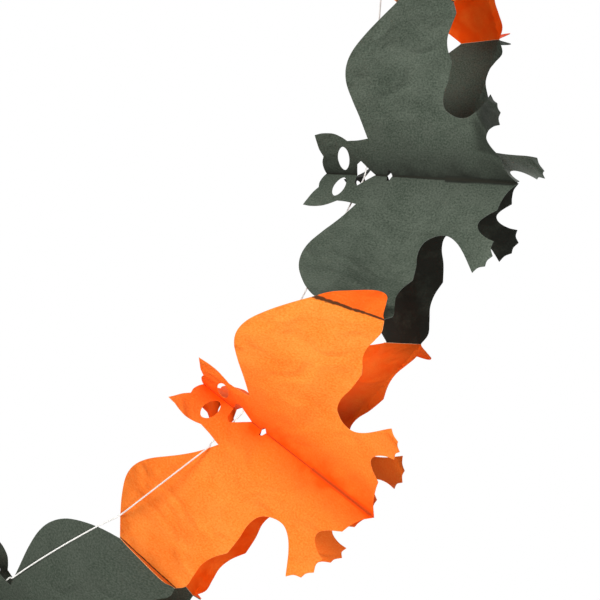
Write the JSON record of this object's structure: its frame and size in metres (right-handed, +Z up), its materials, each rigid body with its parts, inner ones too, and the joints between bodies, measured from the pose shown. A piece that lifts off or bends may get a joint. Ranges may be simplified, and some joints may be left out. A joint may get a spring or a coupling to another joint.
{
  "type": "paper bat garland",
  "caption": "Hanging garland of die-cut paper bats in orange and black, glued wing tip to wing tip and strung on a white thread with a hanging loop at each end.",
  "frame": {"origin": "centre of the eye of the upper thread loop, where the garland hangs from a hook or pin", "axes": "+Z up, against gravity as it hangs; the bats' fronts face -Y; +X to the right as the fronts are looked at"},
  "size_m": [0.3463, 0.1391, 0.5743],
  "materials": {
    "orange_paper": "matte",
    "black_paper": "matte",
    "thread": "matte",
    "glue": "satin"
  },
  "bodies": {
    "root": {"bat_1_front_sheet": "orange_paper", "bat_1_back_sheet": "orange_paper", "bat_2_front_sheet": "black_paper", "bat_2_back_sheet": "black_paper", "bat_3_front_sheet": "orange_paper", "bat_3_back_sheet": "orange_paper", "bat_4_front_sheet": "black_paper", "bat_4_back_sheet": "black_paper", "bat_1_spine_glue": "glue", "bat_2_spine_glue": "glue", "bat_3_spine_glue": "glue", "bat_4_spine_glue": "glue", "joint_12_front_glue": "glue", "joint_12_back_glue": "glue", "joint_23_front_glue": "glue", "joint_23_back_glue": "glue", "joint_34_front_glue": "glue", "joint_34_back_glue": "glue", "thread": "thread"}
  },
  "joints": []
}
